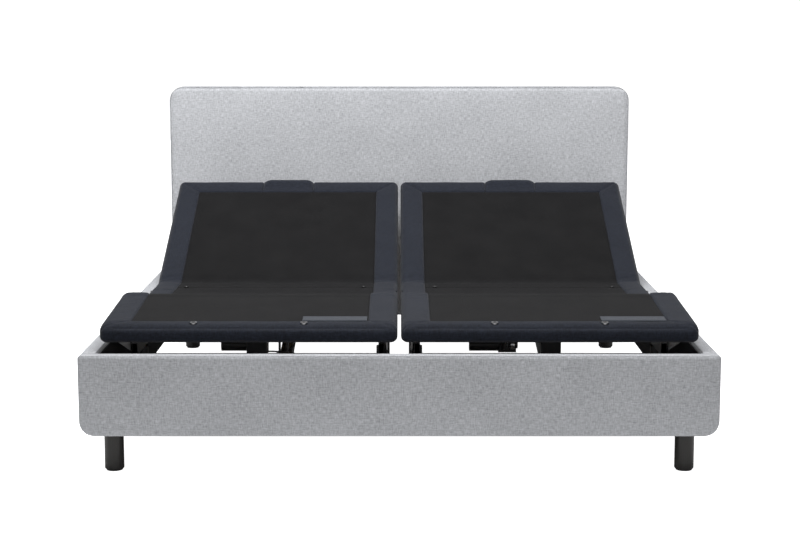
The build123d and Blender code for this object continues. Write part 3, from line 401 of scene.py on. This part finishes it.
FINISHES = {
    "liner_board": felt("liner_felt", (0.016, 0.016, 0.018)),
    "timber_board": timber("pine_board", (0.42, 0.27, 0.14), 0.25, 0.6, (24, 260, 260)),
    "dust_cover": felt("dust_cover_felt", (0.020, 0.020, 0.022)),
    "black_steel": coated("black_powder_coat", (0.012, 0.012, 0.013), 0.48, strength=0.25, wear=0.5),
    "zinc_fasteners": coated("zinc_plate", (0.55, 0.56, 0.57), 0.34, metallic=1.0, grain=400.0, spread=0.12),
    "leg_finish": timber("dark_legs", (0.009, 0.0072, 0.0056), 0.28, 0.42, (300, 300, 18),
                         coat=0.05, rings=0.3),
    "black_plastic": coated("black_plastic", (0.010, 0.010, 0.011), 0.42, grain=1500.0, strength=0.2),
    "plywood": timber("birch_plywood", (0.48, 0.34, 0.20), 0.2, 0.62, (22, 6, 420)),
    "socket_metal": coated("socket_metal", (0.34, 0.34, 0.35), 0.30, metallic=1.0, grain=500.0, spread=0.1),
    "cable_jacket": coated("cable_jacket", (0.014, 0.014, 0.015), 0.5, grain=1200.0),
    "rod_steel": coated("rod_steel", (0.60, 0.61, 0.62), 0.22, metallic=1.0, grain=300.0, spread=0.08),
    "pale_steel": coated("pale_steel", (0.50, 0.51, 0.53), 0.42, grain=700.0, spread=0.12, wear=0.1),
}
LIGHT_WEAVE = weave("light_weave", (0.420, 0.428, 0.448), 0.42, thread=0.0022, sheen=0.05, roughness=0.9)
BORDER_WEAVE = weave("border_weave", (0.0120, 0.0144, 0.0220), 0.7, thread=0.0018, sheen=0.10,
                     roughness=0.62, level=0.10)
PATCH_WEAVE = weave("patch_weave", (0.040, 0.046, 0.058), 0.2, thread=0.0012, sheen=0.1, roughness=0.5)
DECK_MESH = deck_mesh()


def dress_cad_nodes():
    slot_of = {part["node"]: part["material_slot"] for part in frame["record"]["subparts"]}
    for name, node in frame["nodes"].items():
        finish = FINISHES.get(slot_of.get(name))
        if finish is not None:
            for index in range(len(node.data.materials)):
                node.data.materials[index] = finish


# ------------------------------------------------------------------ meshes made from a block of cells
LINE_MERGE = 0.0006
QUAD_CORNERS = {
    0: ((0, 0, 0), (0, 1, 0), (0, 1, 1), (0, 0, 1)),
    1: ((0, 0, 0), (0, 0, 1), (1, 0, 1), (1, 0, 0)),
    2: ((0, 0, 0), (1, 0, 0), (1, 1, 0), (0, 1, 0)),
}
RIPPLE_WAVES = 7


def merged(values):
    """Sorted lines, with any two that nearly meet made one."""
    kept = []
    for value in sorted(values):
        if not kept or value - kept[-1] > LINE_MERGE:
            kept.append(float(value))
    return np.array(kept)


def filled(low, high, step, extra=()):
    """Lines from low to high through every extra one, with gaps of about a step."""
    fixed = merged([low, high, *[e for e in extra if low < e < high]])
    lines = []
    for a, b in zip(fixed[:-1], fixed[1:]):
        lines.extend(np.linspace(a, b, max(1, round((b - a) / step)) + 1)[:-1])
    return np.array([*lines, fixed[-1]])


def skin(xs, ys, zs, full):
    """Points and quads of the outside of the full cells of a block."""
    padded = np.pad(full, 1)
    ny, nz = len(ys), len(zs)
    quads = []
    for axis in range(3):
        for sign in (1, -1):
            neighbour = np.roll(padded, -sign, axis)[1:-1, 1:-1, 1:-1]
            cells = np.argwhere(full & ~neighbour)
            ring = QUAD_CORNERS[axis] if sign > 0 else QUAD_CORNERS[axis][::-1]
            shift = np.zeros(3, int)
            shift[axis] = 1 if sign > 0 else 0
            corners = [cells + shift + np.array(c) for c in ring]
            quads.append(np.stack([(p[:, 0] * ny + p[:, 1]) * nz + p[:, 2] for p in corners], axis=1))
    used, quads = np.unique(np.concatenate(quads), return_inverse=True)
    quads = quads.reshape(-1, 4)
    numbers = np.stack([used // (ny * nz), used // nz % ny, used % nz], axis=1)
    points = np.stack([xs[numbers[:, 0]], ys[numbers[:, 1]], zs[numbers[:, 2]]], axis=1)
    return points, quads


def rounded(points, low, high, radius, on_skin):
    """Points on the outside of a block, pressed onto the same block with rounded edges."""
    inner = np.clip(points, low + radius, high - radius)
    away = points - inner
    length = np.linalg.norm(away, axis=1)
    moving = on_skin & (length > 1e-9)
    out = points.copy()
    out[moving] = inner[moving] + away[moving] / length[moving, None] * radius
    return out


def ripple(a, b, wave, height):
    """Soft unevenness of padded cloth, the same on every run."""
    total = np.zeros(len(a))
    for _ in range(RIPPLE_WAVES):
        angle, phase, stretch = random_phases.uniform(0, math.tau, 3)
        k = math.tau / wave * (0.6 + 0.8 * stretch / math.tau)
        total += np.sin(k * (a * math.cos(angle) + b * math.sin(angle)) + phase)
    return total * height / RIPPLE_WAVES


def step_up(t):
    t = np.clip(t, 0, 1)
    return t * t * (3 - 2 * t)


def groove(distance, depth, width):
    return -depth * np.exp(-((distance / width) ** 2))


def mesh_object(name, points, quads, fabric, materials, face_material=None, sharp=55.0):
    mesh = bpy.data.meshes.new(name)
    mesh.from_pydata([tuple(p) for p in points], [], [tuple(int(i) for i in q) for q in quads])
    for material in materials:
        mesh.materials.append(material)
    if face_material is not None:
        mesh.polygons.foreach_set("material_index", face_material.astype(np.int32))
    mesh.polygons.foreach_set("use_smooth", np.ones(len(quads), bool))
    attribute = mesh.attributes.new("fabric", "FLOAT_VECTOR", "POINT")
    attribute.data.foreach_set("vector", fabric.astype(np.float32).ravel())
    mesh.update()
    mesh.set_sharp_from_angle(angle=math.radians(sharp))
    piece = bpy.data.objects.new(name, mesh)
    scene.collection.objects.link(piece)
    return piece


# ------------------------------------------------------------------ covers of the platforms
EDGE_STEPS = (0.0, 0.003, 0.007, 0.012, 0.018, 0.0205, 0.0355, 0.045, 0.055, 0.065, 0.075, 0.083, 0.087,
              0.0885, 0.090, 0.0915, 0.093, 0.097)
FOOT_STEPS = (0.0, 0.003, 0.007, 0.012, 0.018, 0.0205, 0.0355, 0.041, 0.0445, 0.0465, 0.048, 0.0495,
              0.0515, 0.055, 0.065)
LEVELS = (-0.060, -0.057, -0.053, -0.046, -0.038, -0.030, -0.022, -0.016, -0.012, -0.007, -0.003, 0.0)


def cover_lines(low_s, high_s, ends, features):
    """Lines across, along and up through one cover, closer together where it has seams and edges."""
    extra_x = [s * (HALF_WIDTH - e) for e in EDGE_STEPS for s in (-1, 1)]
    extra_x += [s * POCKET_HALF for s in (-1, 1)]
    extra_s = []
    if "low" in ends:
        extra_s += [low_s + e for e in FOOT_STEPS] + [low_s + SKIRT]
    if "high" in ends:
        extra_s += [high_s - e for e in EDGE_STEPS] + [high_s - SKIRT]
        extra_x += [s * (GRIP_HALF + d) for d in FINE_STEPS for s in (-1, 1)]
    if "sockets" in features:
        extra_x += [s * SOCKET_ACROSS + d for s in (-1, 1) for d in (-SOCKET_HOLE, SOCKET_HOLE)]
    if "strap" in features:
        extra_s += [STRAP_ALONG + d for d in FINE_STEPS]
    xs = filled(-HALF_WIDTH, HALF_WIDTH, COVER_STEP_ACROSS, extra_x)
    return xs, filled(low_s, high_s, COVER_STEP_ALONG, extra_s), np.array(LEVELS)


def cover_cells(lines, low_s, high_s, ends, features):
    """The cells that cloth and foam fill, round the pocket for the board and frame."""
    mid_x, mid_s, mid_h = ((v[:-1] + v[1:]) / 2 for v in lines)
    pocket = (np.abs(mid_x) < POCKET_HALF)[:, None, None] & (mid_h < POCKET_TOP)[None, None, :]
    inside = np.ones(len(mid_s), bool)
    if "low" in ends:
        inside &= mid_s > low_s + SKIRT
    if "high" in ends:
        inside &= mid_s < high_s - SKIRT
    full = ~(pocket & inside[None, :, None])
    if "sockets" in features:
        in_x = np.abs(np.abs(mid_x) - SOCKET_ACROSS) < SOCKET_HOLE
        in_s = np.abs(mid_s - low_s - SOCKET_FROM_END) < SOCKET_HOLE
        full &= ~(in_x[:, None, None] & in_s[None, :, None])
    return full


def cover_fabric(points, low_s, high_s, ends, centre_x, pivot_y):
    """Cloth coordinates that run over the edges and down the sides."""
    x, s, h = points.T
    side_drop = np.where(np.abs(x) > HALF_WIDTH - TINY, -h, 0)
    end_drop = np.zeros(len(x))
    if "low" in ends:
        end_drop = np.where(s < low_s + TINY, h, end_drop)
    if "high" in ends:
        end_drop = np.where(s > high_s - TINY, -h, end_drop)
    return np.stack([x + np.sign(x) * side_drop + centre_x, s + end_drop + pivot_y, h * 0.2], axis=1)


def cover_relief(x, s, edge_low, edge_high, ends, features):
    """Height of the top's border roll, seams, grip and unevenness, and the distance in from the seam."""
    edge_x = HALF_WIDTH - np.abs(x)
    seam_gap = np.minimum.reduce([edge_x - BORDER, edge_low - FOOT_BORDER, edge_high - BORDER])
    in_border = seam_gap < 0
    by_foot = edge_low - FOOT_BORDER < np.minimum(edge_x - BORDER, edge_high - BORDER)
    roll_at = np.clip(-seam_gap / np.where(by_foot, FOOT_BORDER, BORDER), 0, 1)
    relief = np.where(in_border, ROLL_HEIGHT * np.sin(np.pi * roll_at) ** 0.8, -DECK_SINK)
    relief += groove(seam_gap, SEAM_DEPTH, SEAM_WIDTH)
    foot_corner = (edge_x < BORDER) & (edge_low < FOOT_BORDER)
    mitre_low = np.where(foot_corner, edge_low / (FOOT_BORDER / BORDER) - edge_x, FAR)
    mitre_high = np.where((edge_x < BORDER) & (edge_high < BORDER), edge_high - edge_x, FAR)
    relief += groove(np.minimum(np.abs(mitre_low), np.abs(mitre_high)), MITRE_DEPTH, MITRE_WIDTH)
    if "high" in ends:
        grip = step_up((GRIP_HALF - np.abs(x)) / GRIP_SIDE_RAMP)
        relief += GRIP_RISE * (grip * step_up((GRIP_LENGTH - edge_high) / GRIP_END_RAMP))
        grip_seam = groove(np.abs(x) - GRIP_HALF, GRIP_SEAM_DEPTH, GRIP_SEAM_WIDTH)
        relief += np.where(edge_high < BORDER, grip_seam, 0)
    if "sockets" in features:
        from_socket = (np.abs(x) - SOCKET_ACROSS) ** 2 + (edge_low - SOCKET_FROM_END) ** 2
        relief = relief * (1 - np.exp(-(from_socket / SOCKET_FLAT**2)))
    if "strap" in features:
        strap = groove(s - STRAP_ALONG, STRAP_DEPTH, STRAP_WIDTH)
        relief += np.where(np.abs(x) < HALF_WIDTH - BORDER, strap, 0)
    cloth = ripple(x, s, LONG_RIPPLE, LONG_RIPPLE_HEIGHT) + ripple(x, s, SHORT_RIPPLE, SHORT_RIPPLE_HEIGHT)
    wander = CREASE_WANDER * np.sin(x * CREASE_WANDER_TURNS)
    crease = np.exp(-((s / CREASE_REACH) ** 2)) * CREASE_HEIGHT * np.sin(s * CREASE_TURNS + wander)
    return relief + np.where(in_border, cloth + crease, cloth * DECK_RIPPLE_SHARE), seam_gap


def bent(shaped, centre_x, pivot, tilt_low, tilt_high):
    """Points of a flat cover, turned about its hinge with a smooth bend beside it."""
    share = step_up((shaped[:, 1] + BEND_REACH) / (2 * BEND_REACH))
    tilt = tilt_low + share * (tilt_high - tilt_low)
    up = shaped[:, 2] + PIVOT_DEPTH
    return np.stack([
        shaped[:, 0] + centre_x,
        pivot[1] + shaped[:, 1] * np.cos(tilt) - up * np.sin(tilt),
        pivot[2] + shaped[:, 1] * np.sin(tilt) + up * np.cos(tilt)], axis=1)


def cover(name, centre_x, pivot, along, tilts, ends, replaced, features=()):
    """One upholstered piece: a tray of cloth and foam over boards and frames, bent about one hinge."""
    low_s, high_s = along
    lines = cover_lines(low_s, high_s, ends, features)
    points, quads = skin(*lines, cover_cells(lines, low_s, high_s, ends, features))
    x, s, h = points.T
    on_side = np.abs(x) > HALF_WIDTH - TINY
    on_low = (s < low_s + TINY) if "low" in ends else np.zeros(len(x), bool)
    on_high = (s > high_s - TINY) if "high" in ends else np.zeros(len(x), bool)
    on_skin = on_side | (h > -TINY) | (h < -SECTION_THICK + TINY) | on_low | on_high
    box_low = np.array([-HALF_WIDTH, low_s if "low" in ends else low_s - 1.0, -SECTION_THICK])
    box_high = np.array([HALF_WIDTH, high_s if "high" in ends else high_s + 1.0, 0.0])
    shaped = rounded(points, box_low, box_high, COVER_ROUND, on_skin)
    fabric = cover_fabric(points, low_s, high_s, ends, centre_x, pivot[1])

    far = np.full(len(x), FAR)
    edge_low = s - low_s if "low" in ends else far
    edge_high = high_s - s if "high" in ends else far
    relief, seam_gap = cover_relief(x, s, edge_low, edge_high, ends, features)
    near_top = on_skin & (h > POCKET_TOP - 0.001)
    shaped[:, 2] += relief * (step_up((h - POCKET_TOP) / -POCKET_TOP) * near_top)
    bulge = BULGE * np.sin(np.pi * np.clip(-h / SECTION_THICK, 0, 1))
    bulge = bulge + 0.5 * ripple(x + s, h * 3, BULGE_RIPPLE, BULGE_RIPPLE_HEIGHT)
    if "low" in ends:
        nose = step_up(1 - edge_low / NOSE_REACH)
        shaped[:, 2] -= nose * NOSE_DROP * np.clip((h + SECTION_THICK) / SECTION_THICK, 0, 1)
        shaped[:, 1] -= np.where(on_low, bulge * FRONT_BULGE_SHARE, 0)
    if "high" in ends:
        shaped[:, 1] += np.where(on_high, bulge, 0)
    shaped[:, 0] += np.where(on_side, np.sign(x) * bulge * SIDE_BULGE_SHARE, 0)
    tilt_low, tilt_high = (math.radians(t) for t in tilts)
    placed = bent(shaped, centre_x, pivot, tilt_low, tilt_high)

    across = np.abs(x[quads]).mean(1)
    is_deck = (seam_gap[quads].mean(1) > 0) & (h[quads].min(1) > -TINY)
    is_deck &= across < HALF_WIDTH - BORDER + 0.001
    piece = mesh_object(name, placed, quads, fabric, [BORDER_WEAVE, DECK_MESH], is_deck.astype(int))
    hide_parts(*replaced)
    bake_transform(piece)


def make_covers(side):
    back = joint_place[f"back_lift_{side}"]
    thigh = joint_place[f"thigh_lift_{side}"]
    knee = joint_place[f"foot_fold_{side}"]
    half_seat, half_thigh = SEAT_LENGTH / 2, THIGH_LENGTH / 2
    cover(f"back_cover_{side}", back[0], back, (-half_seat, BACK_LENGTH), (0, BACK_ANGLE), {"high"},
          [f"back_pad_{side}", f"seat_pad_{side}"], {"strap"})
    cover(f"thigh_cover_{side}", back[0], thigh, (-half_thigh, half_seat), (THIGH_ANGLE, 0), set(),
          [f"thigh_pad_{side}"])
    cover(f"foot_cover_{side}", back[0], knee, (-FOOT_LENGTH, half_thigh), (FOOT_ANGLE, THIGH_ANGLE),
          {"low"}, [f"foot_pad_{side}"], {"sockets"})


# ------------------------------------------------------------------ upholstered surround
def corner_map(u, v, radius):
    """A square corner pressed onto a quarter disc, measured from the corner's inner point."""
    a, b = np.clip(u / radius, 0, 1), np.clip(v / radius, 0, 1)
    both = (u > 0) & (v > 0)
    new_u = np.where(both, radius * a * np.sqrt(1 - b * b / 2), u)
    new_v = np.where(both, radius * b * np.sqrt(1 - a * a / 2), v)
    return new_u, new_v


def both_ends(low, high, offsets):
    return [low + e for e in offsets] + [high - e for e in offsets]


def panel_lines(low, high, step, thin, corner, seam, recess, under, outward):
    """Lines through one panel, closer together at its edges, seam, recess and round corners."""
    lines = []
    fractions = [k / CORNER_LINES for k in range(1, CORNER_LINES + 1)]
    for axis in range(3):
        extra = both_ends(low[axis], high[axis], EDGE_LINES)
        if axis != thin:
            if seam:
                extra += both_ends(low[axis], high[axis], SEAM_LINES)
            if recess:
                extra += both_ends(low[axis], high[axis], [recess + d for d in LIP_LINES])
            if corner:
                extra += both_ends(low[axis], high[axis], [corner * f for f in fractions])
        if under and axis == 2:
            extra += [low[2] + under * f for f in fractions]
        if under and axis == thin:
            outer = high[thin] if outward > 0 else low[thin]
            extra += [outer - outward * under * f for f in fractions]
        lines.append(filled(low[axis], high[axis], step, extra))
    return lines


def panel_fabric(points, low, high, wide, thin):
    """Cloth coordinates that run over the panel's face and round its edges."""
    depth = points[:, thin] - low[thin]
    along = {}
    for axis in (wide, 2):
        at_high = np.where(points[:, axis] > high[axis] - TINY, depth, 0)
        at_low = np.where(points[:, axis] < low[axis] + TINY, depth, 0)
        along[axis] = points[:, axis] + (at_high - at_low)
    return np.stack([along[wide], along[2], np.zeros(len(points))], axis=1)


def swell_faces(shaped, points, low, high, wide, thin, crown, seam):
    """A slight crown and unevenness on both faces, and the seam inside the front face's edge."""
    gap_w = np.minimum(points[:, wide] - low[wide], high[wide] - points[:, wide])
    gap_t = high[2] - points[:, 2]
    inset = np.minimum(gap_w, np.minimum(gap_t, points[:, 2] - low[2]))
    at_front = points[:, thin] < low[thin] + TINY
    at_back = points[:, thin] > high[thin] - TINY
    for sign, at_face in ((-1, at_front), (1, at_back)):
        swell = crown * (1 - np.exp(-np.clip(inset, 0, None) / CROWN_REACH)) - crown
        swell = swell + ripple(points[:, wide], points[:, 2], PANEL_RIPPLE, PANEL_RIPPLE_HEIGHT)
        swell = swell + ripple(points[:, wide], points[:, 2], CLOTH_RIPPLE, CLOTH_RIPPLE_HEIGHT)
        if seam and sign < 0:
            from_seam = np.minimum(gap_w, gap_t) - seam
            swell = swell + groove(from_seam, PANEL_SEAM_DEPTH, PANEL_SEAM_WIDTH)
        shaped[:, thin] += np.where(at_face, sign * swell, 0)


def round_corners(shaped, points, low, high, wide, corner, at_top):
    """Round the two upper or the two lower corners of a panel's outline."""
    on_high_side = points[:, wide] > (low[wide] + high[wide]) / 2
    centre_w = np.where(on_high_side, high[wide] - corner, low[wide] + corner)
    sign_w = np.where(on_high_side, 1, -1)
    u = (shaped[:, wide] - centre_w) * sign_w
    v = shaped[:, 2] - (high[2] - corner) if at_top else (low[2] + corner) - shaped[:, 2]
    new_u, new_v = corner_map(u, v, corner)
    shaped[:, wide] = centre_w + sign_w * new_u
    shaped[:, 2] = (high[2] - corner) + new_v if at_top else (low[2] + corner) - new_v


def press_recess(shaped, points, low, high, wide, thin, recess):
    """Set the back face in, inside a border, so that the board and its dust cover fill it."""
    middle = (low + high) / 2
    half = (high - low) / 2 - 2 * recess
    out_w = np.clip(np.abs(shaped[:, wide] - middle[wide]) - half[wide], 0, None)
    out_z = np.clip(np.abs(shaped[:, 2] - middle[2]) - half[2], 0, None)
    inward = recess + RECESS_MARGIN - np.hypot(out_w, out_z)
    at_back = points[:, thin] > high[thin] - TINY
    shaped[:, thin] -= np.where(at_back, RECESS_DEPTH * np.clip(inward / RECESS_RAMP, 0, 1), 0)


def round_under(shaped, low, high, thin, radius, outward):
    """Round the long lower edge on the outer face of a rail."""
    centre = (high[thin] if outward > 0 else low[thin]) - outward * radius
    new_u, new_v = corner_map((shaped[:, thin] - centre) * outward, low[2] + radius - shaped[:, 2], radius)
    shaped[:, thin] = centre + outward * new_u
    shaped[:, 2] = low[2] + radius - new_v


def board_cover(name, node, edge, step, top_corner=0.0, bottom_corner=0.0, crown=SLIM_CROWN, seam=0.0,
                thin=1, under=0.0, outward=1, recess=0.0):
    """A padded panel round one CAD board: rounded edges, a slight crown, and a seam inside its edge."""
    low, high = (np.array(v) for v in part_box(node))
    wide = 1 - thin
    corner = max(top_corner, bottom_corner)
    lines = panel_lines(low, high, step, thin, corner, seam, recess, under, outward)
    points, quads = skin(*lines, np.ones([len(v) - 1 for v in lines], bool))
    shaped = rounded(points, low, high, edge, np.ones(len(points), bool))
    fabric = panel_fabric(points, low, high, wide, thin)
    swell_faces(shaped, points, low, high, wide, thin, crown, seam)
    if top_corner:
        round_corners(shaped, points, low, high, wide, top_corner, at_top=True)
    if bottom_corner:
        round_corners(shaped, points, low, high, wide, bottom_corner, at_top=False)
    if recess:
        press_recess(shaped, points, low, high, wide, thin, recess)
    if under:
        round_under(shaped, low, high, thin, under, outward)
    piece = mesh_object(name, shaped, quads, fabric, [LIGHT_WEAVE], sharp=80.0)
    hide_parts(node)
    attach(piece, "root")


def make_surround():
    board_cover("footboard_cover", "footboard", SURROUND_ROUND, FOOTBOARD_STEP, bottom_corner=UNDER_CORNER)
    board_cover("headboard_cover", "headboard_panel", HEADBOARD_ROUND, SURROUND_STEP,
                top_corner=HEADBOARD_CORNER, crown=HEADBOARD_CROWN, seam=HEADBOARD_SEAM,
                recess=RECESS_BORDER)
    for side, outward in zip(SIDES, (-1, 1)):
        board_cover(f"rail_cover_{side}", f"side_rail_{side}", SURROUND_ROUND, SURROUND_STEP, thin=0,
                    under=UNDER_CORNER, outward=outward)


# ------------------------------------------------------------------ small sewn details
def local_point(joint, angle, across, along, height):
    """A point on the top of the section beside a joint, at rest."""
    pivot = joint_place[joint]
    tilt = math.radians(angle)
    up = height + PIVOT_DEPTH
    return (pivot[0] + across, pivot[1] + along * math.cos(tilt) - up * math.sin(tilt),
            pivot[2] + along * math.sin(tilt) + up * math.cos(tilt))


def make_patch(side):
    """A plain sewn patch at the front corner of the mesh, with a row of stitches round it."""
    joint = f"foot_fold_{side}"
    high_x = HALF_WIDTH - BORDER - PATCH_GAP
    low_x = high_x - PATCH_LENGTH
    low_s = -FOOT_LENGTH + FOOT_BORDER + PATCH_GAP
    high_s = low_s + PATCH_DEPTH
    xs = filled(low_x, high_x, PATCH_STEP, both_ends(low_x, high_x, PATCH_EDGE))
    ss = filled(low_s, high_s, PATCH_STEP, both_ends(low_s, high_s, PATCH_EDGE))
    hs = np.array(PATCH_LEVELS)
    points, quads = skin(xs, ss, hs, np.ones((len(xs) - 1, len(ss) - 1, len(hs) - 1), bool))
    x, s, h = points.T
    gap = np.minimum.reduce([x - low_x, high_x - x, s - low_s, high_s - s])
    crown = PATCH_CROWN * step_up(gap / PATCH_CROWN_REACH)
    lift = np.where(h > PATCH_TOP, crown + groove(gap - STITCH_INSET, STITCH_DEPTH, STITCH_WIDTH), 0)
    fabric = points + np.array([joint_place[joint][0], 0.0, 0.0])
    placed = np.array([local_point(joint, FOOT_ANGLE, *point) for point in zip(x, s, h + lift)])
    piece = mesh_object(f"sewn_patch_{side}", placed, quads, fabric, [PATCH_WEAVE])
    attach(piece, f"foot_{side}")


def snap_mesh(joint, across):
    """Points and faces of one domed snap: rings from its foot up, a tip and a base point."""
    points = []
    for height, radius in SNAP_RINGS:
        for k in range(SNAP_COUNT):
            angle = math.tau * k / SNAP_COUNT
            place = (across + radius * math.cos(angle), STRAP_ALONG + radius * math.sin(angle))
            points.append(local_point(joint, 0.0, *place, height))
    points.append(local_point(joint, 0.0, across, STRAP_ALONG, SNAP_TOP))
    points.append(local_point(joint, 0.0, across, STRAP_ALONG, SNAP_RINGS[0][0]))
    tip, last = len(points) - 2, (len(SNAP_RINGS) - 1) * SNAP_COUNT
    faces = []
    for k in range(SNAP_COUNT):
        after = (k + 1) % SNAP_COUNT
        for a in range(0, last, SNAP_COUNT):
            faces.append((a + k, a + after, a + after + SNAP_COUNT, a + k + SNAP_COUNT))
        faces.append((last + k, last + after, tip))
        faces.append((after, k, tip + 1))
    return points, faces


def make_snaps(side):
    """Two domed snaps at the ends of the seam across the seat."""
    points, faces = [], []
    for across in (-SNAP_ACROSS, SNAP_ACROSS):
        snap_points, snap_faces = snap_mesh(f"back_lift_{side}", across)
        faces += [tuple(i + len(points) for i in face) for face in snap_faces]
        points += snap_points
    mesh = bpy.data.meshes.new(f"seat_snaps_{side}")
    mesh.from_pydata(points, [], faces)
    mesh.materials.append(FINISHES["black_plastic"])
    mesh.polygons.foreach_set("use_smooth", np.ones(len(mesh.polygons), bool))
    mesh.update()
    piece = bpy.data.objects.new(f"seat_snaps_{side}", mesh)
    scene.collection.objects.link(piece)
    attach(piece, "root")


make_camera()
make_world()
make_stage()
dress_cad_nodes()
for each_side in SIDES:
    make_covers(each_side)
    make_patch(each_side)
    make_snaps(each_side)
make_surround()
